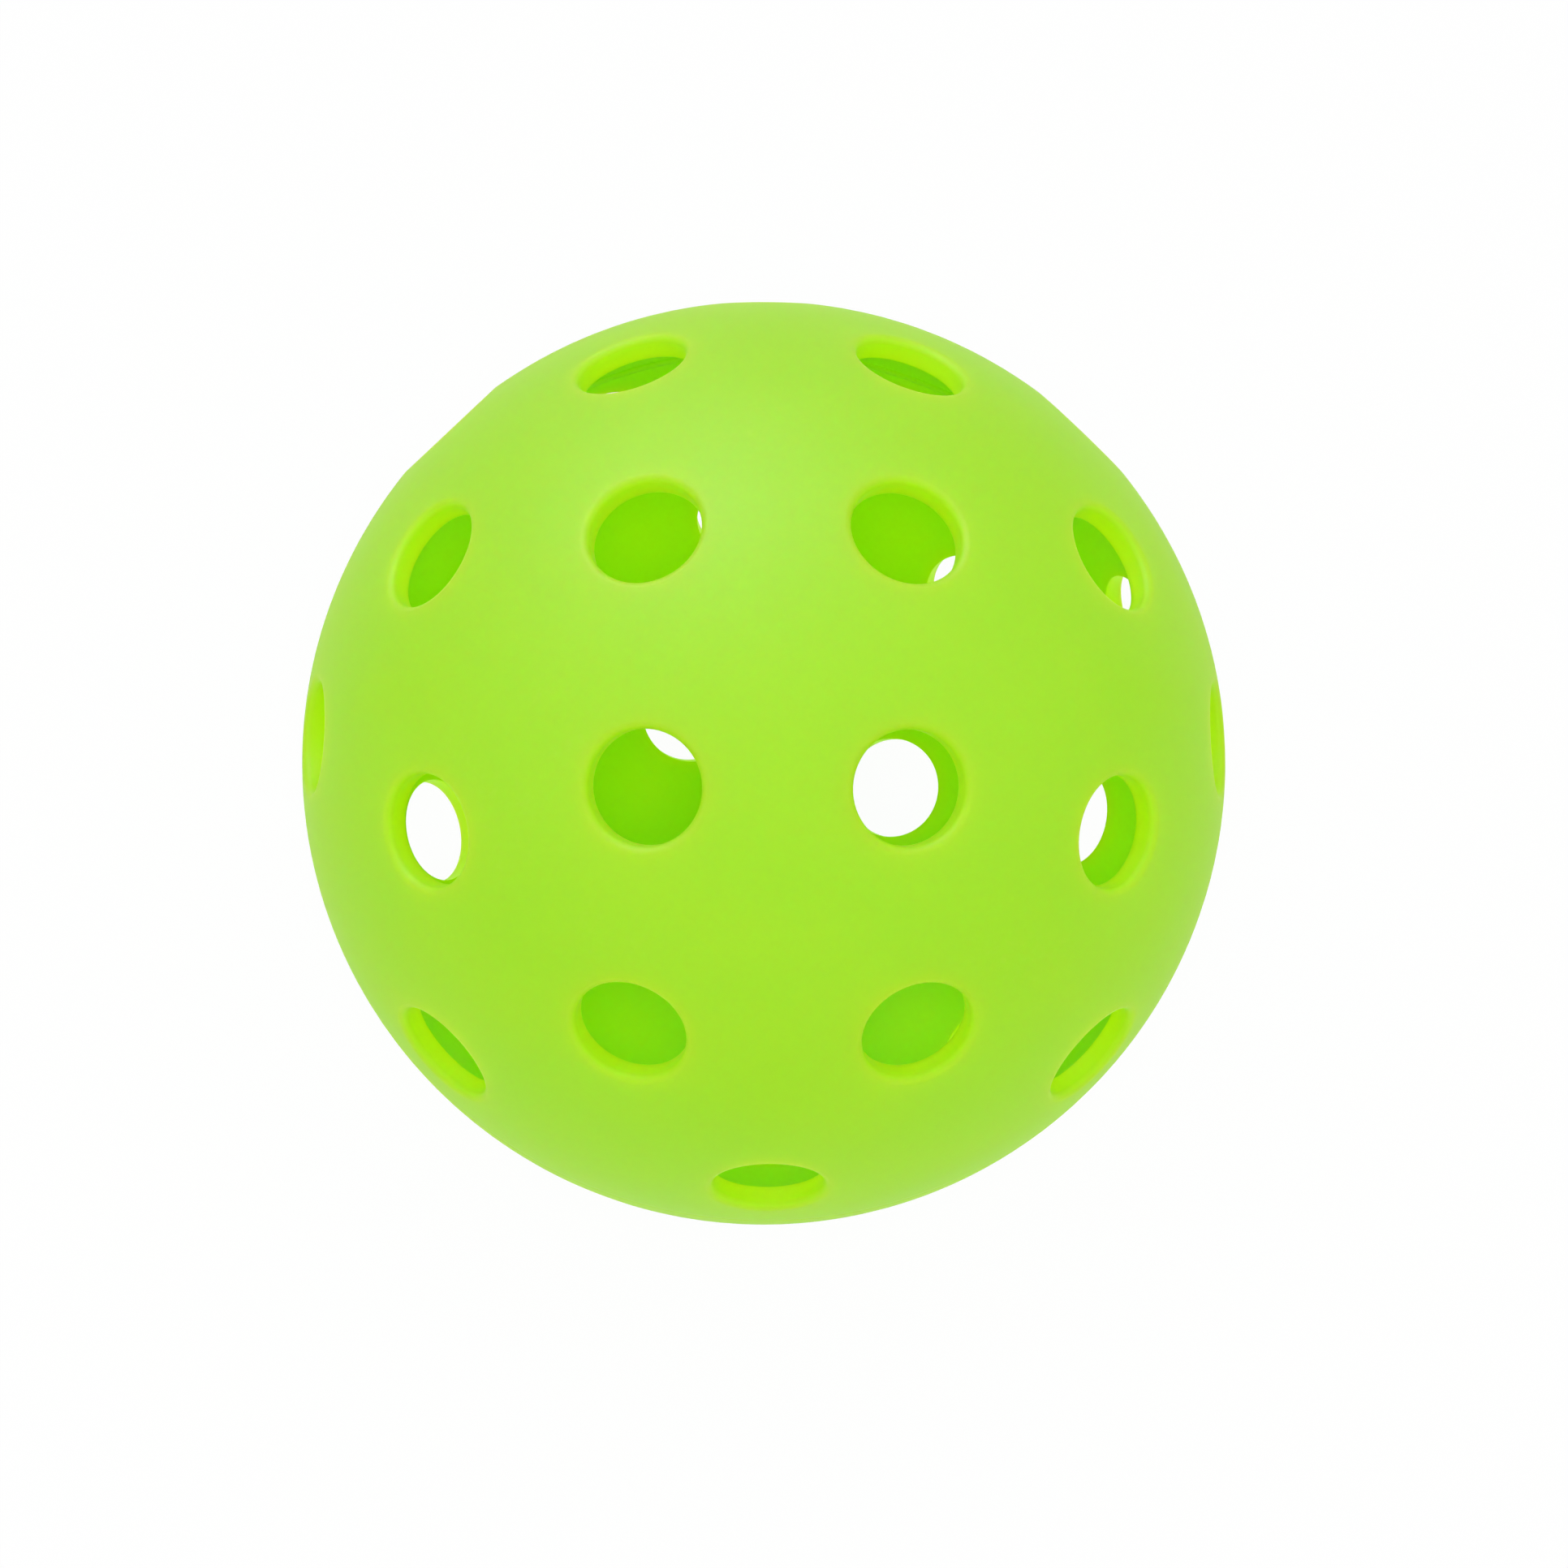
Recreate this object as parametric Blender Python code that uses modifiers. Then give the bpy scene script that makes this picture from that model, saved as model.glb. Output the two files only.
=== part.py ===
"""Pickleball: two perforated half shells that meet in a stepped lap and are welded along the seam.

Run it with: blender --background --python part.py
Lengths are in metres and angles in degrees. The origin is the centre of the ball, z = 0 is the
seam between the halves and +Z is the axis that both halves are moulded along.
"""

import math

import bpy

# Driving dimensions of the shell
BALL_DIAMETER = 0.074
WALL_THICKNESS = 0.0019

# Driving dimensions of the holes
HOLE_DIAMETER = 0.0086
MOUTH_ROUNDING = 0.0006

# The pattern of holes on each half: latitude of each ring above the seam, and holes in it
POLE_RING_LATITUDE = 67.8
POLE_RING_HOLES = 4
MIDDLE_RING_LATITUDE = 39.7
MIDDLE_RING_HOLES = 8
SEAM_RING_LATITUDE = 13.8
SEAM_RING_HOLES = 8

# The lower half is welded on turned by this much about the moulding axis
LOWER_HALF_TURN = 69.0

# Driving dimensions of the joint: a spigot on the upper half, inside a lip on the lower half
SPIGOT_LENGTH = 0.0012
JOINT_CLEARANCE = 0.0003

# Driving dimensions of the bead of melted plastic that stands inside the joint
BEAD_WIDTH = 0.0014
BEAD_HEIGHT = 0.0004

# How far a cutter runs past each face of the wall
CUTTER_OVERRUN = 0.0015

# Fineness of the surfaces, as numbers of straight steps
SHELL_STEPS = 48
SHELL_ARC_STEPS = 12
HOLE_STEPS = 20
MOUTH_STEPS = 2
BEAD_STEPS = 6

# The rounding ends this many degrees before it would run level with the outside of the shell
MOUTH_EDGE_ANGLE = 15.0

# An edge sharper than this is shaded as an edge
SHARP_EDGE_ANGLE = 32.0

# Colours are linear RGB
SHELL_COLOUR = (0.402, 0.815, 0.030, 1.0)
BEAD_COLOUR = (0.330, 0.720, 0.015, 1.0)
SHELL_ROUGHNESS = 0.45
BEAD_ROUGHNESS = 0.38

# Sizes that follow from the driving dimensions
outer_radius = BALL_DIAMETER / 2
inner_radius = outer_radius - WALL_THICKNESS
hole_radius = HOLE_DIAMETER / 2
mouth_rounding = min(MOUTH_ROUNDING, WALL_THICKNESS / 2)

# The lap shares the wall between the spigot and the lip, with the clearance between them
lap_thickness = (WALL_THICKNESS - JOINT_CLEARANCE) / 2
spigot_outer_radius = inner_radius + lap_thickness
lip_inner_radius = outer_radius - lap_thickness
shoulder_z = JOINT_CLEARANCE / 2
lip_top_z = -JOINT_CLEARANCE / 2
spigot_tip_z = -SPIGOT_LENGTH
rebate_floor_z = spigot_tip_z - JOINT_CLEARANCE

# The bead covers the inner end of the joint
bead_middle_z = (spigot_tip_z + rebate_floor_z) / 2
bead_seat_radius = inner_radius - JOINT_CLEARANCE

# Each ring of holes: latitude, number of holes, longitude of the first hole
hole_rings = (
    (POLE_RING_LATITUDE, POLE_RING_HOLES, 180.0 / POLE_RING_HOLES),
    (MIDDLE_RING_LATITUDE, MIDDLE_RING_HOLES, 180.0 / MIDDLE_RING_HOLES),
    (SEAM_RING_LATITUDE, SEAM_RING_HOLES, 0.0),
)


def clear_scene():
    for obj in list(bpy.data.objects):
        bpy.data.objects.remove(obj, do_unlink=True)


def add_collection(name):
    collection = bpy.data.collections.new(name)
    bpy.context.scene.collection.children.link(collection)
    return collection


def plastic(name, colour, roughness):
    """A plain moulded plastic."""
    material = bpy.data.materials.new(name)
    material.use_nodes = True
    shader = material.node_tree.nodes["Principled BSDF"]
    shader.inputs["Base Color"].default_value = colour
    shader.inputs["Roughness"].default_value = roughness
    shader.inputs["Metallic"].default_value = 0.0
    material.diffuse_color = colour
    return material


def sphere_arc(radius, start_z, end_z, steps):
    """Points (x, z) on a circle about the origin, evenly spaced from one height to another."""
    start = math.asin(max(-1.0, min(1.0, start_z / radius)))
    end = math.asin(max(-1.0, min(1.0, end_z / radius)))
    angles = [start + (end - start) * i / steps for i in range(steps + 1)]
    return [(radius * math.cos(a), radius * math.sin(a)) for a in angles]


def add_turned(name, profile, closed, steps, collection):
    """An object turned about its Z axis from a profile (x, z) that runs down its outer side."""
    points = [(x, 0.0, z) for x, z in profile]
    edges = [(i, i + 1) for i in range(len(points) - 1)]
    if closed:
        edges.append((len(points) - 1, 0))
    mesh = bpy.data.meshes.new(name)
    mesh.from_pydata(points, edges, [])
    obj = bpy.data.objects.new(name, mesh)
    collection.objects.link(obj)
    screw = obj.modifiers.new("turn", "SCREW")
    screw.axis = "Z"
    screw.angle = 2 * math.pi
    screw.steps = steps
    screw.render_steps = steps
    screw.use_merge_vertices = True
    screw.merge_threshold = 0.00001
    screw.use_smooth_shade = True
    return obj


def upper_half_profile():
    """The upper half: down its outside to the shoulder, round the spigot, and up its inside."""
    outside = sphere_arc(outer_radius, outer_radius, shoulder_z, SHELL_ARC_STEPS)
    spigot = [(spigot_outer_radius, shoulder_z), (spigot_outer_radius, spigot_tip_z)]
    inside = sphere_arc(inner_radius, spigot_tip_z, inner_radius, SHELL_ARC_STEPS)
    return outside + spigot + inside


def lower_half_profile():
    """The lower half: up its inside to the rebate, over the lip, and down its outside."""
    inside = sphere_arc(inner_radius, -inner_radius, rebate_floor_z, SHELL_ARC_STEPS)
    lip = [(lip_inner_radius, rebate_floor_z), (lip_inner_radius, lip_top_z)]
    outside = sphere_arc(outer_radius, lip_top_z, -outer_radius, SHELL_ARC_STEPS)
    return inside + lip + outside


def bead_profile():
    """The bead: its back follows the inside of the shell, and its face is half an ellipse."""
    top_z = bead_middle_z + BEAD_WIDTH / 2
    bottom_z = bead_middle_z - BEAD_WIDTH / 2
    back = sphere_arc(bead_seat_radius, top_z, bottom_z, 2)
    face = []
    for i in range(1, BEAD_STEPS):
        angle = math.pi * i / BEAD_STEPS
        x = bead_seat_radius - BEAD_HEIGHT * math.sin(angle)
        z = bead_middle_z - BEAD_WIDTH / 2 * math.cos(angle)
        face.append((x, z))
    return back + face


def hole_cutter_profile():
    """A hole's cutter, along Z from inside the wall to outside it, with its rounded mouth."""
    top_z = outer_radius + CUTTER_OVERRUN
    bottom_z = inner_radius * math.cos(math.asin(hole_radius / inner_radius)) - CUTTER_OVERRUN

    # The rounding is an arc that touches the bore and the outside of the shell
    centre_x = hole_radius + mouth_rounding
    centre_z = math.sqrt((outer_radius - mouth_rounding) ** 2 - centre_x**2)
    level_angle = math.atan2(centre_z, centre_x)
    edge_angle = level_angle + math.radians(MOUTH_EDGE_ANGLE)

    arc = []
    for i in range(MOUTH_STEPS + 1):
        angle = edge_angle + (math.pi - edge_angle) * i / MOUTH_STEPS
        x = centre_x + mouth_rounding * math.cos(angle)
        z = centre_z + mouth_rounding * math.sin(angle)
        arc.append((x, z))

    # Past the edge of the rounding the cutter runs straight on, out of the shell
    edge_x = arc[0][0] + mouth_rounding * math.sin(edge_angle)
    edge_z = arc[0][1] - mouth_rounding * math.cos(edge_angle)
    top = [(0.0, top_z), (edge_x, top_z), (edge_x, edge_z)]
    bottom = [(hole_radius, bottom_z), (0.0, bottom_z)]
    return top + arc + bottom


def add_hole_cutters(name, side, turn, collection):
    """The cutters of one half. Side is +1 for the upper half and -1 for the lower half."""
    cutters = bpy.data.collections.new(name)
    collection.children.link(cutters)
    for ring, (latitude, holes, first) in enumerate(hole_rings, start=1):
        for i in range(holes):
            longitude = first + turn + 360.0 * i / holes
            cutter_name = f"{name}_ring_{ring}_hole_{i + 1}"
            cutter = add_turned(cutter_name, hole_cutter_profile(), False, HOLE_STEPS, cutters)
            polar_angle = 90.0 - side * latitude
            cutter.rotation_euler = (0.0, math.radians(polar_angle), math.radians(longitude))
            cutter.hide_render = True
            cutter.display_type = "WIRE"
    return cutters


def cut_holes(obj, cutters):
    boolean = obj.modifiers.new("holes", "BOOLEAN")
    boolean.operation = "DIFFERENCE"
    boolean.solver = "EXACT"
    boolean.operand_type = "COLLECTION"
    boolean.collection = cutters


def finish(obj, material, parent):
    """Fixes the shape as a mesh, smooth but for its real edges, with its material and parent."""
    graph = bpy.context.evaluated_depsgraph_get()
    shape = bpy.data.meshes.new_from_object(obj.evaluated_get(graph))
    shape.name = obj.name
    obj.modifiers.clear()
    obj.data = shape
    shape.shade_smooth()
    shape.set_sharp_from_angle(angle=math.radians(SHARP_EDGE_ANGLE))
    shape.materials.clear()
    shape.materials.append(material)
    obj.parent = parent


def main():
    clear_scene()
    parts = add_collection("pickleball")
    cutters = add_collection("pickleball_cutters")

    ball = bpy.data.objects.new("ball_centre", None)
    ball.empty_display_size = outer_radius / 4
    parts.objects.link(ball)

    upper = add_turned("upper_half_shell", upper_half_profile(), False, SHELL_STEPS, parts)
    cut_holes(upper, add_hole_cutters("upper_half_cutter", 1, 0.0, cutters))

    lower = add_turned("lower_half_shell", lower_half_profile(), False, SHELL_STEPS, parts)
    cut_holes(lower, add_hole_cutters("lower_half_cutter", -1, LOWER_HALF_TURN, cutters))

    bead = add_turned("weld_bead", bead_profile(), True, SHELL_STEPS, parts)

    finish(upper, plastic("upper_half_plastic", SHELL_COLOUR, SHELL_ROUGHNESS), ball)
    finish(lower, plastic("lower_half_plastic", SHELL_COLOUR, SHELL_ROUGHNESS), ball)
    finish(bead, plastic("weld_bead_plastic", BEAD_COLOUR, BEAD_ROUGHNESS), ball)

    for obj in (upper, lower, bead):
        triangles = sum(len(face.vertices) - 2 for face in obj.data.polygons)
        print(f"{obj.name}: {triangles} triangles")


main()
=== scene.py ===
# %% [markdown]
# # A pickleball
# A pickleball is a thin, hollow plastic ball with forty round holes. Two half shells are moulded,
# set together in a stepped lap and welded along the seam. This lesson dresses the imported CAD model
# with fine meshes and procedural materials, and sets it before the camera of the photograph.
#
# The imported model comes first. It is the fixed frame: metres, with the centre of the ball at the
# origin, the seam in the plane z = 0 and +Z along the axis that the halves are moulded along.

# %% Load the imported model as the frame
import math

import bpy
from mathutils import Matrix, Vector
from mathutils.geometry import delaunay_2d_cdt


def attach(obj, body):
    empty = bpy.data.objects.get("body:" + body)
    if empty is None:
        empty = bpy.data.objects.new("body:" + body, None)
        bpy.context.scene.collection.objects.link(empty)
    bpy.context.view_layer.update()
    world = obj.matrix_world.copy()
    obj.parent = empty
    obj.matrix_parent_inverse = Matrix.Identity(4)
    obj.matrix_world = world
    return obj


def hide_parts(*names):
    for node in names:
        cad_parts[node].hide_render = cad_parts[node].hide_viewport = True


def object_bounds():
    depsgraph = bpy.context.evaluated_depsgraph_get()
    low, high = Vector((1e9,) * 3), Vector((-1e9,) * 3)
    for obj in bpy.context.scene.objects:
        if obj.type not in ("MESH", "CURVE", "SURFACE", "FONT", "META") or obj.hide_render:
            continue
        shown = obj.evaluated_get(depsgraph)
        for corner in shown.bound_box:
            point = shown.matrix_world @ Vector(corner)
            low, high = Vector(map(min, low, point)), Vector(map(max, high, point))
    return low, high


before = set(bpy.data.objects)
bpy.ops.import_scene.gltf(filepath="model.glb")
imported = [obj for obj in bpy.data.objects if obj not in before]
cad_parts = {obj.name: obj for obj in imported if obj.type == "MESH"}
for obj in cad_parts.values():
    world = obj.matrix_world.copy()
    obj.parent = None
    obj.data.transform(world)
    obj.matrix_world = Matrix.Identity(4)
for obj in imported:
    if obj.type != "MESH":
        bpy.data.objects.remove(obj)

cad_low, cad_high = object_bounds()
outer_radius = cad_high.z
print("CAD nodes:", ", ".join(sorted(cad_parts)))
print(f"outside radius {outer_radius * 1000:.2f} mm")

# %% [markdown]
# ## Where the holes are
# Each half has twenty holes in three rings: four near the pole, eight half way down and eight near
# the seam. A hole is given by a direction from the centre of the ball, so one list of directions
# serves the outside, the inside and the walls of the holes.

# %% Directions of the holes of one half, with its pole upwards
POLE = Vector((0.0, 0.0, 1.0))
HOLE_RINGS = ((67.8, 4, 45.0), (39.7, 8, 22.5), (13.8, 8, 0.0))


def direction(latitude, longitude):
    """The unit vector at a latitude and longitude in degrees."""
    up, round_z = math.radians(latitude), math.radians(longitude)
    across = math.cos(up)
    return Vector((across * math.cos(round_z), across * math.sin(round_z), math.sin(up)))


hole_axes = [
    direction(latitude, first + 360.0 * i / holes)
    for latitude, holes, first in HOLE_RINGS
    for i in range(holes)
]
print(f"{len(hole_axes)} holes in each half")

# %% [markdown]
# ## The section of a hole
# A hole is a short straight bore. Outside, its mouth is rolled over in a wide soft rounding, which
# is what catches the light in the photograph. Inside, its edge is nearly sharp. A Boolean cut with
# a bevel could make this, but the bevel tends to break where cut faces are small. Here the section
# is written out as points (distance from the hole's axis, height along it), from the outside of
# the wall to the inside, and is turned about the axis of each hole later.

# %% Section of the wall round a hole
WALL_THICKNESS = 0.0019
HOLE_RADIUS = 0.0043
MOUTH_ROUNDING = 0.0006
INNER_EDGE_ROUNDING = 0.00012
MOUTH_STEPS = 9
INNER_EDGE_STEPS = 3
BORE_STEPS = 3
inner_radius = outer_radius - WALL_THICKNESS


def arc(centre, radius, start, end, steps):
    """Points on a circle from one angle to another, both ends included."""
    angles = [start + (end - start) * i / steps for i in range(steps + 1)]
    return [(centre[0] + radius * math.cos(a), centre[1] + radius * math.sin(a)) for a in angles]


def hole_section():
    """Down the rolled mouth, along the bore and round the inner edge."""
    mouth_x = HOLE_RADIUS + MOUTH_ROUNDING
    mouth_z = math.sqrt((outer_radius - MOUTH_ROUNDING) ** 2 - mouth_x**2)
    mouth_start = math.atan2(mouth_z, mouth_x)
    mouth = arc((mouth_x, mouth_z), MOUTH_ROUNDING, mouth_start, math.pi, MOUTH_STEPS)

    edge_x = HOLE_RADIUS + INNER_EDGE_ROUNDING
    edge_z = math.sqrt((inner_radius + INNER_EDGE_ROUNDING) ** 2 - edge_x**2)
    edge_end = math.pi + math.atan2(edge_z, edge_x)
    edge = arc((edge_x, edge_z), INNER_EDGE_ROUNDING, math.pi, edge_end, INNER_EDGE_STEPS)

    bore_length = mouth_z - edge_z
    bore = [(HOLE_RADIUS, mouth_z - bore_length * i / BORE_STEPS) for i in range(1, BORE_STEPS)]
    return mouth + bore + edge


section = hole_section()
print(f"section of a hole: {len(section)} points, mouth {section[0][0] * 2000:.2f} mm across")

# %% [markdown]
# ## A sheet of the shell
# The outside and the inside of a half are caps of a sphere with round openings. A UV sphere would
# crowd its faces at the pole and cut the openings into steps. So points are strewn evenly on a
# spiral, with rings of closer points round each opening, and joined by a Delaunay triangulation.
# That works on a plane, so the cap is first flattened by stereographic projection: it keeps circles
# as circles, and with them the well shaped triangles.

# %% Rings of points, and the sheet that they bound
HOLE_STEPS = 64
RIM_STEPS = 192
SHEET_SPACING = 0.0013
GOLDEN_TURN = math.pi * (3.0 - math.sqrt(5.0))

# Each ring of closer points round a hole: its distance from the hole's edge, and points in it
HOLE_COLLAR = ((0.0004, 64), (0.0010, 44), (0.0019, 32))
RIM_COLLAR = 0.0009

# The spread points keep this share of their spacing from the rings, and no two points are closer
# than the last value on the flattened cap
FREE_SHARE = 0.6
LEAST_DISTANCE = 1e-9


def ring_around(axis, angle, steps, start=0.0):
    """Unit vectors on a circle round an axis, counterclockwise when seen from outside."""
    side = POLE.cross(axis)
    side = side.normalized() if side.length > 1e-6 else Vector((1.0, 0.0, 0.0))
    other = axis.cross(side)
    turns = [2.0 * math.pi * (i + start) / steps for i in range(steps)]
    return [
        axis * math.cos(angle) + (side * math.cos(t) + other * math.sin(t)) * math.sin(angle)
        for t in turns
    ]


def loop_edges(loop):
    return list(zip(loop, loop[1:] + loop[:1]))


def shell_sheet(radius, hole_angle, rim_angle):
    """Points of a cap with openings, its triangles, the loop round each opening and the rim."""
    points = []

    def add(ring):
        points.extend(ring)
        return list(range(len(points) - len(ring), len(points)))

    loops = []
    for axis in hole_axes:
        loops.append(add(ring_around(axis, hole_angle, HOLE_STEPS)))
        for gap, steps in HOLE_COLLAR:
            add(ring_around(axis, hole_angle + gap / radius, steps, 0.5))
    rim = add(ring_around(POLE, rim_angle, RIM_STEPS))
    add(ring_around(POLE, rim_angle - RIM_COLLAR / radius, RIM_STEPS, 0.5))

    margin = FREE_SHARE * SHEET_SPACING / radius
    hole_limit = math.cos(hole_angle + HOLE_COLLAR[-1][0] / radius + margin)
    rim_limit = math.cos(rim_angle - RIM_COLLAR / radius - margin)
    count = int(2.0 * math.pi * (1.0 - math.cos(rim_angle)) * (radius / SHEET_SPACING) ** 2)
    for i in range(count):
        height = 1.0 - (i + 0.5) / count * (1.0 - math.cos(rim_angle))
        across = math.sqrt(1.0 - height * height)
        turn = i * GOLDEN_TURN
        point = Vector((across * math.cos(turn), across * math.sin(turn), height))
        if height > rim_limit and all(point.dot(axis) < hole_limit for axis in hole_axes):
            points.append(point)

    flat = [Vector((p.x, p.y)) / (1.0 + p.z) for p in points]
    fixed = [edge for loop in loops + [rim] for edge in loop_edges(loop)]
    made = delaunay_2d_cdt(flat, fixed, [], 0, LEAST_DISTANCE)
    assert len(made[0]) == len(points), "the triangulation has to keep every point as it is"

    opening = {i: k for k, loop in enumerate(loops) for i in loop}
    triangles = []
    for face in made[2]:
        holes = {opening.get(i, -1) for i in face}
        if len(holes) > 1 or holes == {-1}:
            triangles.append(tuple(face))
    return [p * radius for p in points], triangles, loops, rim


# %% [markdown]
# ## The rim of each half
# On the real ball the halves meet in a lap: a thin spigot on the upper half stands inside a lip on
# the lower one, so the seam is lined up while it is welded. The weld leaves only a hairline
# outside. Each rim is a section again, of points (distance from the moulding axis, height), here
# with the half's own pole upwards.

# %% Sections of the two rims
SEAM_GAP = 0.00001
SEAM_EDGE_ROUNDING = 0.00003
SEAM_EDGE_STEPS = 3
SPIGOT_LENGTH = 0.0012
WALL_UNDER_BEAD = 0.0005
lap_radius = inner_radius + WALL_THICKNESS / 2


def on_sphere(radius, height):
    """The point of a sphere's section at a height."""
    return (math.sqrt(radius * radius - height * height), height)


def seam_edge():
    """The rounded outer edge of a rim, from the outside of the shell to the face of the seam."""
    low = SEAM_GAP + SEAM_EDGE_ROUNDING
    x = on_sphere(outer_radius, low)[0] - SEAM_EDGE_ROUNDING
    return arc((x, low), SEAM_EDGE_ROUNDING, 0.0, -math.pi / 2, SEAM_EDGE_STEPS)


spigot_radius = lap_radius - SEAM_GAP
spigot_rim = seam_edge() + [
    (spigot_radius, SEAM_GAP),
    (spigot_radius, -SPIGOT_LENGTH),
    on_sphere(inner_radius, -SPIGOT_LENGTH),
    on_sphere(inner_radius, -SPIGOT_LENGTH + WALL_UNDER_BEAD),
]
lip_radius = lap_radius + SEAM_GAP
rebate_height = SPIGOT_LENGTH + SEAM_GAP
lip_rim = seam_edge() + [
    (lip_radius, SEAM_GAP),
    (lip_radius, rebate_height),
    on_sphere(inner_radius, rebate_height),
    on_sphere(inner_radius, rebate_height + WALL_UNDER_BEAD),
]
print(f"lap {SPIGOT_LENGTH * 1000:.1f} mm long, {WALL_THICKNESS * 500:.2f} mm thick each side")

# %% [markdown]
# ## A half shell
# Now the two sheets are joined into one closed solid: the section of a hole is turned round each
# hole's axis, and the rim's section round the pole, as bands of faces between the two sheets. The
# loops of the sheets are used as they are, so the mesh has no gaps. That matters here, because the
# plastic is slightly translucent, and light can only be followed through a closed wall.
#
# The lower half is the same moulding, turned over and then turned by 69 degrees about the axis.

# %% Build the two half shells
LOWER_HALF_TURN = math.radians(69.0)
SHARP_EDGE_ANGLE = math.radians(50.0)


def turned_band(points, faces, axis, profile, first_loop, last_loop, facing_axis):
    """Joins two loops by a profile turned about an axis."""
    steps = len(first_loop)
    loops = [first_loop]
    for x, z in profile[1:-1]:
        length = math.hypot(x, z)
        ring = ring_around(axis, math.atan2(x, z), steps)
        loops.append(list(range(len(points), len(points) + steps)))
        points.extend(p * length for p in ring)
    loops.append(last_loop)
    for a, b in zip(loops, loops[1:]):
        if not facing_axis:
            a, b = b, a
        for (a0, a1), (b0, b1) in zip(loop_edges(a), loop_edges(b)):
            faces.append((a0, a1, b1, b0))


def add_piece(name, points, faces):
    """A new object from points and faces, smooth but for its sharp edges, linked into the scene."""
    mesh = bpy.data.meshes.new(name)
    mesh.from_pydata(points, [], faces)
    mesh.shade_smooth()
    mesh.set_sharp_from_angle(angle=SHARP_EDGE_ANGLE)
    obj = bpy.data.objects.new(name, mesh)
    bpy.context.scene.collection.objects.link(obj)
    return obj


def angle_of(point):
    """The angle of a section's point from the axis that it is turned about."""
    return math.atan2(point[0], point[1])


def half_shell(name, rim_section, placing):
    """One half with its pole upwards, put in its place."""
    sheets = (
        shell_sheet(outer_radius, angle_of(section[0]), angle_of(rim_section[0])),
        shell_sheet(inner_radius, angle_of(section[-1]), angle_of(rim_section[-1])),
    )
    points, faces, loops, rims = [], [], [], []
    for (sheet_points, triangles, sheet_loops, rim), inside in zip(sheets, (False, True)):
        base = len(points)
        points.extend(sheet_points)
        for a, b, c in triangles:
            corners = (a, c, b) if inside else (a, b, c)
            faces.append(tuple(base + i for i in corners))
        loops.append([[base + i for i in loop] for loop in sheet_loops])
        rims.append([base + i for i in rim])
    for axis, outer_loop, inner_loop in zip(hole_axes, *loops):
        turned_band(points, faces, axis, section, outer_loop, inner_loop, True)
    turned_band(points, faces, POLE, rim_section, rims[0], rims[1], False)
    return add_piece(name, [placing @ p for p in points], faces)


turned_over = Matrix.Rotation(LOWER_HALF_TURN, 4, "Z") @ Matrix.Rotation(math.pi, 4, "X")
upper_half = half_shell("upper_half", spigot_rim, Matrix.Identity(4))
lower_half = half_shell("lower_half", lip_rim, turned_over)

for half in (upper_half, lower_half):
    uses = {}
    for face in half.data.polygons:
        for key in face.edge_keys:
            uses[key] = uses.get(key, 0) + 1
    open_edges = sum(1 for n in uses.values() if n != 2)
    print(f"{half.name}: {len(half.data.polygons)} faces, {open_edges} open edges")

# %% [markdown]
# ## The weld bead
# When the halves are pressed together hot, a little plastic runs out of the joint and sets as a low
# ridge on the inside. It has the colour of the shell and no even edge. It could be a torus, but a
# torus is too regular: here a low hump is swept round the seam while its height, width and middle
# wander by a few slow waves.

# %% Build the weld bead
BEAD_WIDTH = 0.0012
BEAD_HEIGHT = 0.00016
BEAD_LIFT = 0.00001
BEAD_STEPS = 240
BEAD_PROFILE_STEPS = 8
bead_middle = -SPIGOT_LENGTH

# Waves round the ball: how many, where they start and their size, as a share of what they change
HEIGHT_WAVES = ((5, 0.4, 0.14), (13, 1.9, 0.10), (31, 0.7, 0.06))
WIDTH_WAVES = ((7, 2.2, 0.04), (17, 0.3, 0.03))
MIDDLE_WAVES = ((3, 1.1, 1.0), (11, 2.7, 0.5))
MIDDLE_WANDER = 0.00003


def wander(turn, waves):
    """The sum of some waves at one place of the turn."""
    return sum(size * math.sin(count * turn + phase) for count, phase, size in waves)


def bead_ring(turn):
    """One section of the bead: its rounded face, from its lower edge to its upper one."""
    height = BEAD_HEIGHT * (1.0 + wander(turn, HEIGHT_WAVES))
    half = BEAD_WIDTH / 2 * (1.0 + wander(turn, WIDTH_WAVES))
    middle = bead_middle + MIDDLE_WANDER * wander(turn, MIDDLE_WAVES)
    out = Vector((math.cos(turn), math.sin(turn), 0.0))
    ring = []
    for i in range(BEAD_PROFILE_STEPS + 1):
        angle = math.pi * i / BEAD_PROFILE_STEPS
        z = middle - half * math.cos(angle)
        wall = on_sphere(inner_radius, z)[0]
        ring.append(out * (wall - BEAD_LIFT - height * math.sin(angle)) + POLE * z)
    return ring


bead_points, bead_faces = [], []
for i in range(BEAD_STEPS):
    bead_points.extend(bead_ring(2.0 * math.pi * i / BEAD_STEPS))
bead_row = BEAD_PROFILE_STEPS + 1
for i in range(BEAD_STEPS):
    here, there = i * bead_row, (i + 1) % BEAD_STEPS * bead_row
    for j in range(bead_row):
        k = (j + 1) % bead_row
        bead_faces.append((here + j, here + k, there + k, there + j))
weld_bead = add_piece("bead", bead_points, bead_faces)
print(f"{weld_bead.name}: {len(bead_faces)} faces")

# %% [markdown]
# ## Tying the pieces to the frame
# Each piece rides on the ball's one body and stands for its CAD node, which is hidden. Its row also
# gives a material slot name, which this script doesn't use.

# %% Ride and replace the CAD nodes
PIECES = (
    (upper_half, "upper_half_shell", "upper_half_plastic"),
    (lower_half, "lower_half_shell", "lower_half_plastic"),
    (weld_bead, "weld_bead", "weld_bead_plastic"),
)
for piece, node, slot in PIECES:
    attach(piece, "root")
    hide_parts(node)
    print(f"{piece.name} stands for {node}")
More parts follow.
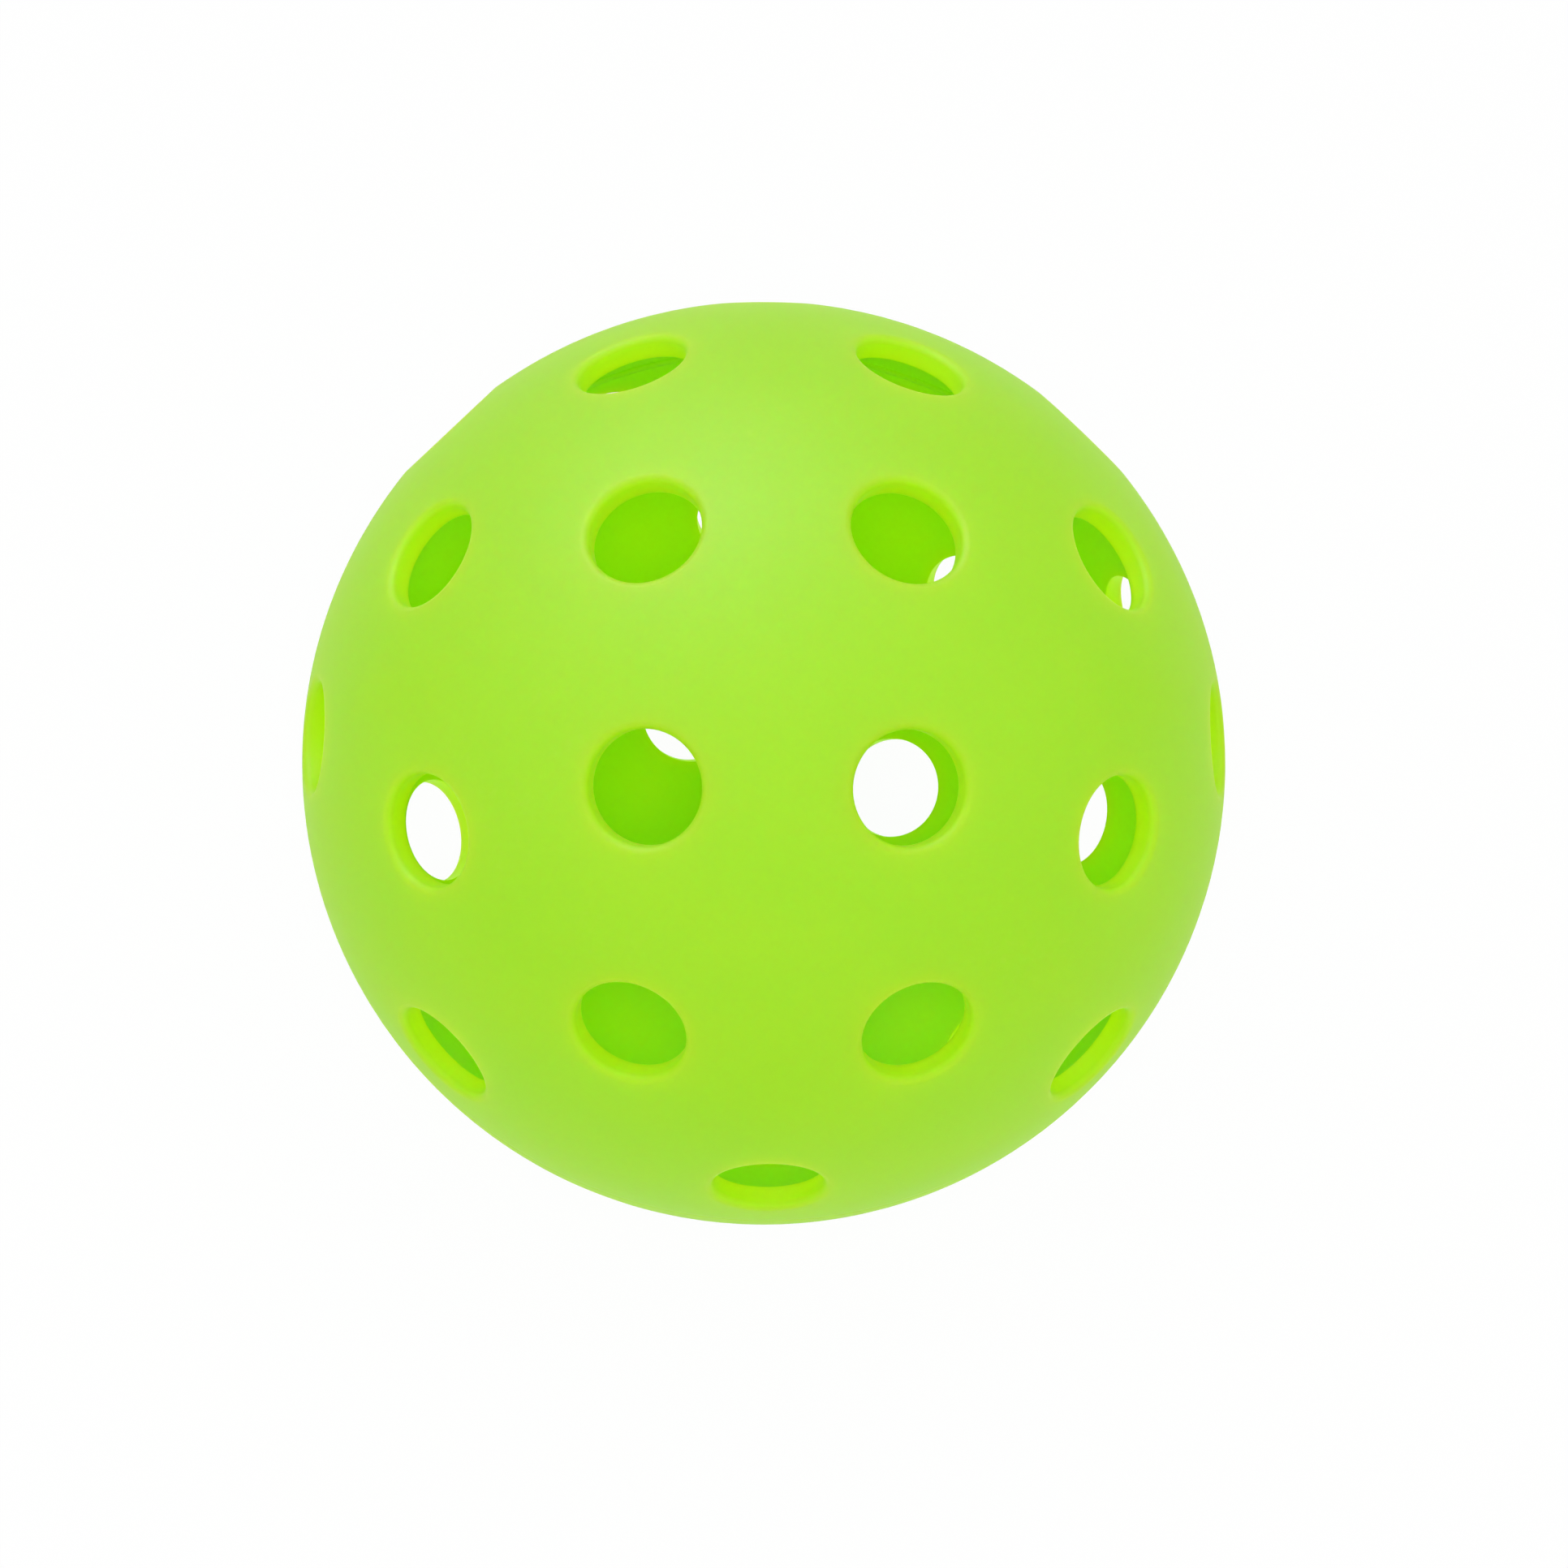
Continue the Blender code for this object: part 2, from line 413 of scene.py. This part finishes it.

# %% [markdown]
# ## Shared effects of the moulded plastic
# Three effects are used by every plastic here, so each is a node group. The resin's tone drifts a
# little where the melt has flowed. The mould leaves a fine grain and a slight swell. The third group
# works out how deep in the wall a point lies, from its distance to the centre of the ball. With that
# the walls of the holes and the inside get lighter tones than the outside and a faint glow deep in
# the holes, all painted light, and only the outside, which is handled, has faint rubbed patches.

# %% A helper for node groups
def new_group(name, inputs, outputs):
    """A shader node group with its input and output nodes. Sockets are (name, kind, value)."""
    group = bpy.data.node_groups.new(name, "ShaderNodeTree")
    for socket, kind, value in inputs:
        made = group.interface.new_socket(name=socket, in_out="INPUT", socket_type=kind)
        made.default_value = value
    for socket, kind in outputs:
        group.interface.new_socket(name=socket, in_out="OUTPUT", socket_type=kind)
    return group, group.nodes.new("NodeGroupInput"), group.nodes.new("NodeGroupOutput")


def add_noise(tree, place, scale, detail, roughness=0.5):
    """A noise value at a place."""
    noise = tree.nodes.new("ShaderNodeTexNoise")
    tree.links.new(place, noise.inputs["Vector"])
    noise.inputs["Scale"].default_value = scale
    noise.inputs["Detail"].default_value = detail
    noise.inputs["Roughness"].default_value = roughness
    return noise.outputs["Fac"]


def add_range(tree, value, low, high, to_low=0.0, to_high=1.0):
    """A value moved from one range to another, and held at its ends."""
    remap = tree.nodes.new("ShaderNodeMapRange")
    tree.links.new(value, remap.inputs["Value"])
    remap.inputs["From Min"].default_value = low
    remap.inputs["From Max"].default_value = high
    remap.inputs["To Min"].default_value = to_low
    remap.inputs["To Max"].default_value = to_high
    return remap.outputs["Result"]


def add_math(tree, operation, first, second):
    """One operation on two values. Each is a socket or a number."""
    node = tree.nodes.new("ShaderNodeMath")
    node.operation = operation
    for value, socket in zip((first, second), node.inputs):
        if isinstance(value, (int, float)):
            socket.default_value = value
        else:
            tree.links.new(value, socket)
    return node.outputs["Value"]


# %% The three groups
NUMBER, COLOUR = "NodeSocketFloat", "NodeSocketColor"
WHITE = (1.0, 1.0, 1.0, 1.0)

# Scales of the noises: features per metre
FLOW_CLOUDS = 60.0
FINE_GRAIN = 3200.0
SLOW_SWELL = 330.0
RUBBED_PATCHES = 90.0
RUBBED_SPECKS = 1500.0

# Depths in the wall, as shares of it: the painted lighter tone of a hole runs from the first to the
# second, its painted glow from the third to the fourth, and the painted lighter tone of the inside
# comes in from the second to the last
MOUTH_END, BORE_END, GLOW_START, GLOW_FULL, INSIDE_START = 0.2, 0.94, 0.3, 0.85, 0.99

resin_tone, given, result = new_group(
    "resin_tone",
    (
        ("Deep Colour", COLOUR, WHITE),
        ("Light Colour", COLOUR, WHITE),
        ("Cloud Scale", NUMBER, FLOW_CLOUDS),
    ),
    (("Colour", COLOUR), ("Cloud", NUMBER)),
)
place = resin_tone.nodes.new("ShaderNodeTexCoord").outputs["Object"]
cloud = resin_tone.nodes.new("ShaderNodeTexNoise")
cloud.inputs["Detail"].default_value = 4.0
cloud.inputs["Distortion"].default_value = 0.8
resin_tone.links.new(place, cloud.inputs["Vector"])
resin_tone.links.new(given.outputs["Cloud Scale"], cloud.inputs["Scale"])
drift = add_range(resin_tone, cloud.outputs["Fac"], 0.3, 0.7)
blend = resin_tone.nodes.new("ShaderNodeMix")
blend.data_type = "RGBA"
resin_tone.links.new(drift, blend.inputs["Factor"])
resin_tone.links.new(given.outputs["Deep Colour"], blend.inputs[6])
resin_tone.links.new(given.outputs["Light Colour"], blend.inputs[7])
resin_tone.links.new(blend.outputs[2], result.inputs["Colour"])
resin_tone.links.new(drift, result.inputs["Cloud"])

moulded_grain, given, result = new_group(
    "moulded_grain",
    (("Grain", NUMBER, 0.5), ("Swell", NUMBER, 0.5)),
    (("Height", NUMBER),),
)
place = moulded_grain.nodes.new("ShaderNodeTexCoord").outputs["Object"]
fine = add_noise(moulded_grain, place, FINE_GRAIN, 3.0, 0.6)
slow = add_noise(moulded_grain, place, SLOW_SWELL, 1.0)
fine = add_math(moulded_grain, "MULTIPLY", fine, given.outputs["Grain"])
slow = add_math(moulded_grain, "MULTIPLY", slow, given.outputs["Swell"])
moulded_grain.links.new(add_math(moulded_grain, "ADD", fine, slow), result.inputs["Height"])

handled_outside, given, result = new_group(
    "handled_outside",
    (("Skin Depth", NUMBER, 0.0003), ("Wall", NUMBER, WALL_THICKNESS), ("Rub", NUMBER, 0.5)),
    (
        ("Outside", NUMBER),
        ("Depth", NUMBER),
        ("Inside", NUMBER),
        ("Deep In Hole", NUMBER),
        ("Rubbed", NUMBER),
    ),
)
place = handled_outside.nodes.new("ShaderNodeTexCoord").outputs["Object"]
distance = handled_outside.nodes.new("ShaderNodeVectorMath")
distance.operation = "LENGTH"
handled_outside.links.new(place, distance.inputs[0])
depth = add_math(handled_outside, "SUBTRACT", outer_radius, distance.outputs["Value"])
skin_share = add_math(handled_outside, "DIVIDE", depth, given.outputs["Skin Depth"])
outside = add_range(handled_outside, skin_share, 0.0, 1.0, 1.0, 0.0)
wall_share = add_math(handled_outside, "DIVIDE", depth, given.outputs["Wall"])
depth_share = add_range(handled_outside, wall_share, MOUTH_END, BORE_END)
inside = add_range(handled_outside, wall_share, BORE_END, INSIDE_START)
deep_share = add_range(handled_outside, wall_share, GLOW_START, GLOW_FULL)
deep_in_hole = add_math(handled_outside, "SUBTRACT", deep_share, inside)
patches = add_noise(handled_outside, place, RUBBED_PATCHES, 5.0, 0.65)
patches = add_range(handled_outside, patches, 0.52, 0.72)
specks = add_noise(handled_outside, place, RUBBED_SPECKS, 2.0)
specks = add_range(handled_outside, specks, 0.5, 0.75)
rub = add_math(handled_outside, "MULTIPLY", patches, specks)
rub = add_math(handled_outside, "MULTIPLY", rub, outside)
rub = add_math(handled_outside, "MULTIPLY", rub, given.outputs["Rub"])
handled_outside.links.new(outside, result.inputs["Outside"])
handled_outside.links.new(depth_share, result.inputs["Depth"])
handled_outside.links.new(inside, result.inputs["Inside"])
handled_outside.links.new(deep_in_hole, result.inputs["Deep In Hole"])
handled_outside.links.new(rub, result.inputs["Rubbed"])
print("groups:", ", ".join(g.name for g in bpy.data.node_groups))

# %% [markdown]
# ## The plastic
# The plastic is a bright yellow-green polyethylene with a satin skin. Two things make its look. The
# first is that light goes some way into the wall: the walls of the holes glow, and the inside is
# far from dark. That is subsurface scattering, with painted light added below. The second is that
# its colour holds almost no blue. What paleness the outside has is the plain white reflection of its
# skin.
#
# Cycles follows light into the plastic only where a ray first meets it. Light that has come through
# the wall on its way round the inside of the ball is missing, most of all deep in the holes. So the
# colour is painted lighter with depth along a hole and lighter inside than outside, and a faint
# painted glow deep in the holes stands in for that light.

# %% Materials of the halves and the bead
SCATTER_RADIUS = (0.5, 1.0, 0.05)
SCATTER_SCALE = 0.014
DEEP_GREEN = (0.347, 0.795, 0.008, 1.0)
LIGHT_GREEN = (0.369, 0.815, 0.009, 1.0)
# Painted light: the tones of the holes and the inside are lighter than the outside's green.
MOUTH_GREEN = (0.365, 0.965, 0.001, 1.0)
BORE_GREEN = (0.55, 1.0, 0.001, 1.0)
INSIDE_GREEN = (0.44, 0.87, 0.002, 1.0)
RUBBED_GREEN = (0.55, 0.88, 0.12, 1.0)
# A painted glow deep in the holes.
LIGHT_IN_WALL = (0.07, 0.17, 0.0, 1.0)
BLACK = (0.0, 0.0, 0.0, 1.0)
SHELL_ROUGHNESS, BEAD_ROUGHNESS, ROUGHNESS_DRIFT = 0.60, 0.50, 0.03
SHELL_GRAIN, BEAD_GRAIN = 0.4, 0.1
GRAIN_STRENGTH, GRAIN_HEIGHT = 0.5, 0.00004
SHELL_RUB, BEAD_RUB = 0.12, 0.0
SKIN_IOR = 1.40


def add_mix(tree, factor, first, second):
    """A colour between two others. Each is a socket or a colour."""
    mix = tree.nodes.new("ShaderNodeMix")
    mix.data_type = "RGBA"
    tree.links.new(factor, mix.inputs["Factor"])
    for value, socket in ((first, mix.inputs[6]), (second, mix.inputs[7])):
        if isinstance(value, tuple):
            socket.default_value = value
        else:
            tree.links.new(value, socket)
    return mix.outputs[2]


def plastic(name, roughness, grain, rub):
    """A moulded plastic with its own roughness, grain and rubbing, and painted light in its holes
    and inside.
    """
    material = bpy.data.materials.new(name)
    material.use_nodes = True
    tree = material.node_tree
    skin = tree.nodes["Principled BSDF"]

    tone = tree.nodes.new("ShaderNodeGroup")
    tone.node_tree = resin_tone
    tone.inputs["Deep Colour"].default_value = DEEP_GREEN
    tone.inputs["Light Colour"].default_value = LIGHT_GREEN
    wear = tree.nodes.new("ShaderNodeGroup")
    wear.node_tree = handled_outside
    wear.inputs["Rub"].default_value = rub
    # Painted light: lighter with depth along a hole and lighter inside than outside.
    colour = add_mix(tree, wear.outputs["Depth"], MOUTH_GREEN, BORE_GREEN)
    colour = add_mix(tree, wear.outputs["Outside"], colour, tone.outputs["Colour"])
    colour = add_mix(tree, wear.outputs["Inside"], colour, INSIDE_GREEN)
    colour = add_mix(tree, wear.outputs["Rubbed"], colour, RUBBED_GREEN)
    tree.links.new(colour, skin.inputs["Base Color"])

    # A painted glow deep in the holes, for light that Cycles misses there.
    glow = add_mix(tree, wear.outputs["Deep In Hole"], BLACK, LIGHT_IN_WALL)
    tree.links.new(glow, skin.inputs["Emission Color"])
    skin.inputs["Emission Strength"].default_value = 1.0
    material.cycles.emission_sampling = "NONE"

    smooth, rough = roughness - ROUGHNESS_DRIFT, roughness + ROUGHNESS_DRIFT
    shine = add_range(tree, tone.outputs["Cloud"], 0.0, 1.0, smooth, rough)
    shine = add_math(tree, "ADD", shine, wear.outputs["Rubbed"])
    tree.links.new(shine, skin.inputs["Roughness"])

    texture = tree.nodes.new("ShaderNodeGroup")
    texture.node_tree = moulded_grain
    texture.inputs["Grain"].default_value = grain
    bump = tree.nodes.new("ShaderNodeBump")
    bump.inputs["Strength"].default_value = GRAIN_STRENGTH
    bump.inputs["Distance"].default_value = GRAIN_HEIGHT
    tree.links.new(texture.outputs["Height"], bump.inputs["Height"])
    tree.links.new(bump.outputs["Normal"], skin.inputs["Normal"])

    skin.inputs["IOR"].default_value = SKIN_IOR
    skin.inputs["Subsurface Weight"].default_value = 1.0
    skin.inputs["Subsurface Radius"].default_value = SCATTER_RADIUS
    skin.inputs["Subsurface Scale"].default_value = SCATTER_SCALE
    return material


FINISHES = (
    (upper_half, plastic("moulded_upper_half", SHELL_ROUGHNESS, SHELL_GRAIN, SHELL_RUB)),
    (lower_half, plastic("moulded_lower_half", SHELL_ROUGHNESS, SHELL_GRAIN, SHELL_RUB)),
    (weld_bead, plastic("remelted_bead", BEAD_ROUGHNESS, BEAD_GRAIN, BEAD_RUB)),
)
for piece, material in FINISHES:
    piece.data.materials.append(material)
    print(f"{piece.name}: {material.name}")

# %% [markdown]
# ## The fused joint
# On the real ball the lap and the bead are fused, so light in the plastic runs on through them.
# Cycles follows light into a translucent solid only once on its way: what runs out of one piece into
# the hidden faces of the next is lost, and the seam shows as a dark belt. So the hidden faces of the
# joint have their own material. It is plain plastic to look at, but for light that comes out of the
# plastic it glows with a painted glow, as bright as the light within the wall.

# %% Materials of the hidden faces of the joint
# Painted glow of the hidden faces, seen by scattered rays only.
LIGHT_IN_LIP = (0.36, 0.72, 0.006, 1.0)
LIGHT_IN_SPIGOT = (0.27, 0.70, 0.004, 1.0)
LIGHT_IN_BEAD = (0.18, 0.62, 0.003, 1.0)
LAP_BANDS = 3
hidden_faces = (LAP_BANDS + 1) * RIM_STEPS


def fused_joint(name, light):
    """Plain plastic to look at, with a painted glow of the given light for scattered rays."""
    material = bpy.data.materials.new(name)
    material.use_nodes = True
    material.cycles.emission_sampling = "NONE"
    tree = material.node_tree
    bare = tree.nodes["Principled BSDF"]
    bare.inputs["Base Color"].default_value = BORE_GREEN
    bare.inputs["Roughness"].default_value = SHELL_ROUGHNESS
    passed_on = tree.nodes.new("ShaderNodeEmission")
    passed_on.inputs["Color"].default_value = light
    mix = tree.nodes.new("ShaderNodeMixShader")
    scattered = tree.nodes.new("ShaderNodeLightPath").outputs["Is Diffuse Ray"]
    tree.links.new(scattered, mix.inputs["Fac"])
    tree.links.new(bare.outputs["BSDF"], mix.inputs[1])
    tree.links.new(passed_on.outputs["Emission"], mix.inputs[2])
    tree.links.new(mix.outputs["Shader"], tree.nodes["Material Output"].inputs["Surface"])
    return material


bead_seat = fused_joint("bead_seat_faces", LIGHT_IN_BEAD)
for half, name, light in (
    (upper_half, "upper_lap_faces", LIGHT_IN_LIP),
    (lower_half, "lower_lap_faces", LIGHT_IN_SPIGOT),
):
    half.data.materials.append(fused_joint(name, light))
    half.data.materials.append(bead_seat)
    for face in half.data.polygons[-hidden_faces:]:
        face.material_index = 1
    for face in half.data.polygons[-RIM_STEPS:]:
        face.material_index = 2
weld_bead.data.materials.append(bead_seat)
for i in range(BEAD_STEPS):
    back = weld_bead.data.polygons[(i + 1) * bead_row - 1]
    back.material_index = 1
print(f"{hidden_faces} hidden faces on each half, {BEAD_STEPS} on the bead")

# %% [markdown]
# ## The floor
# The photograph has a plain white ground with no visible shadow, like a lit table. A large pale
# floor lies under the ball. For the camera it shows white with a trace of the ball's shadow, by the
# Light Path node. For all other light it is a pale surface that glows a little, so the side of the
# ball that faces it isn't dark.

# %% Lay the floor
FLOOR_HALF = 1.5
FLOOR_STEPS = 24
FLOOR_COLOUR = (0.9, 0.9, 0.9, 1.0)
TABLE_GLOW = 0.3
SHOWN_WHITE = 0.96


def background_rays(tree):
    """1 for rays that show the background: straight to the camera, by reflection or through."""
    path = tree.nodes.new("ShaderNodeLightPath")
    shown = add_math(
        tree, "MAXIMUM", path.outputs["Is Camera Ray"], path.outputs["Is Transmission Ray"]
    )
    return add_math(tree, "MAXIMUM", shown, path.outputs["Is Glossy Ray"])


floor_points, floor_faces = [], []
for i in range(FLOOR_STEPS + 1):
    for j in range(FLOOR_STEPS + 1):
        x = FLOOR_HALF * (2.0 * i / FLOOR_STEPS - 1.0)
        y = FLOOR_HALF * (2.0 * j / FLOOR_STEPS - 1.0)
        floor_points.append((x, y, cad_low.z))
for i in range(FLOOR_STEPS):
    for j in range(FLOOR_STEPS):
        a = i * (FLOOR_STEPS + 1) + j
        floor_faces.append((a, a + FLOOR_STEPS + 1, a + FLOOR_STEPS + 2, a + 1))
floor = add_piece("floor", floor_points, floor_faces)

pale = bpy.data.materials.new("pale_floor")
pale.use_nodes = True
tree = pale.node_tree
tree.nodes.clear()
matt = tree.nodes.new("ShaderNodeBsdfDiffuse")
matt.inputs["Color"].default_value = FLOOR_COLOUR
glow = tree.nodes.new("ShaderNodeEmission")
glow.inputs["Strength"].default_value = 1.0
mix = tree.nodes.new("ShaderNodeMixShader")
share = add_range(tree, background_rays(tree), 0.0, 1.0, TABLE_GLOW, SHOWN_WHITE)
tree.links.new(share, mix.inputs["Fac"])
tree.links.new(matt.outputs["BSDF"], mix.inputs[1])
tree.links.new(glow.outputs["Emission"], mix.inputs[2])
output = tree.nodes.new("ShaderNodeOutputMaterial")
tree.links.new(mix.outputs["Shader"], output.inputs["Surface"])
floor.data.materials.append(pale)
print(f"floor {FLOOR_HALF * 2:.1f} m wide at z = {cad_low.z * 1000:.1f} mm")

# %% [markdown]
# ## The camera
# The camera's place was found by fitting the ball's silhouette and the edges of its holes to the
# photograph: it looks down on the pole of the upper half, tilted by 13 degrees. The rows of
# turn_to_camera are its right, up and backward directions. The shift only puts the ball where
# the picture has it, a little left of and above the middle.

# %% Place the camera
TILT, YAW, ROLL = math.radians(13.11), math.radians(1.66), math.radians(-0.16)
DISTANCE_IN_RADII = 10.4469
SENSOR_WIDTH = 36.0
NEAR_CLIP = 0.01
IMAGE_WIDTH = 1932.0
FOCAL_LENGTH_PIXELS = 5914.9
BALL_CENTRE_PIXELS = (941.0, 940.2)

turn_to_camera = (
    Matrix.Rotation(YAW, 3, "Y") @ Matrix.Rotation(-TILT, 3, "X") @ Matrix.Rotation(ROLL, 3, "Z")
)
camera = bpy.data.objects.new("camera", bpy.data.cameras.new("camera"))
bpy.context.scene.collection.objects.link(camera)
camera.data.sensor_width = SENSOR_WIDTH
camera.data.lens = FOCAL_LENGTH_PIXELS / IMAGE_WIDTH * SENSOR_WIDTH
camera.data.shift_x = (IMAGE_WIDTH / 2 - BALL_CENTRE_PIXELS[0]) / IMAGE_WIDTH
camera.data.shift_y = (BALL_CENTRE_PIXELS[1] - IMAGE_WIDTH / 2) / IMAGE_WIDTH
camera.data.clip_start = NEAR_CLIP
camera_place = turn_to_camera[2] * DISTANCE_IN_RADII * outer_radius
camera.matrix_world = Matrix.Translation(camera_place) @ turn_to_camera.transposed().to_4x4()
bpy.context.scene.camera = camera
print("camera at", [round(v, 4) for v in camera.matrix_world.translation])

# %% [markdown]
# ## The light
# The photograph was lit by broad soft light from all round, a little stronger from the top of the
# picture. A white world gives the even part. One large lamp beyond the top of the picture gives the
# direction, and a weak one beside the camera looks into the holes, so that the inside isn't dark.
# That one is kept out of reflections, as the photograph shows no spot of it. A last one is seen in
# reflections alone: it gives the pale sheen on the upper part of the ball.
#
# Light goes to and fro many times inside a pale hollow ball, so it is followed for more bounces
# than Blender's usual four.

# %% World and lamps
WORLD_STRENGTH = 0.725
KEY_PLACE, KEY_SIZE, KEY_POWER = Vector((-0.08, 0.40, 0.55)), 0.6, 0.54
FRONT_PLACE, FRONT_SIZE, FRONT_POWER = camera_place * 1.05, 0.05, 0.48
SHEEN_PLACE, SHEEN_SIZE, SHEEN_POWER = Vector((-0.20, 0.60, 0.45)), 0.7, 6.8
DIFFUSE_BOUNCES = 10
OTHER_BOUNCES = 4

world = bpy.data.worlds.new("studio")
bpy.context.scene.world = world
world.use_nodes = True
tree = world.node_tree
sky = tree.nodes["Background"]
sky.inputs["Color"].default_value = WHITE
level = add_range(tree, background_rays(tree), 0.0, 1.0, WORLD_STRENGTH, 1.0)
tree.links.new(level, sky.inputs["Strength"])


def soft_lamp(name, place, size, power):
    """A round lamp that faces the ball."""
    lamp = bpy.data.objects.new(name, bpy.data.lights.new(name, "AREA"))
    lamp.data.shape = "DISK"
    lamp.data.size = size
    lamp.data.energy = power
    lamp.location = place
    lamp.rotation_mode = "QUATERNION"
    lamp.rotation_quaternion = place.to_track_quat("Z", "Y")
    bpy.context.scene.collection.objects.link(lamp)
    return lamp


key_lamp = soft_lamp("key_lamp", KEY_PLACE, KEY_SIZE, KEY_POWER)
front_lamp = soft_lamp("front_lamp", FRONT_PLACE, FRONT_SIZE, FRONT_POWER)
front_lamp.visible_glossy = False
sheen_lamp = soft_lamp("sheen_lamp", SHEEN_PLACE, SHEEN_SIZE, SHEEN_POWER)
sheen_lamp.visible_diffuse = False
bpy.context.scene.cycles.diffuse_bounces = DIFFUSE_BOUNCES
bpy.context.scene.cycles.max_bounces = DIFFUSE_BOUNCES + OTHER_BOUNCES

# %% Finish with the Standard view
bpy.context.scene.view_settings.view_transform = "Standard"
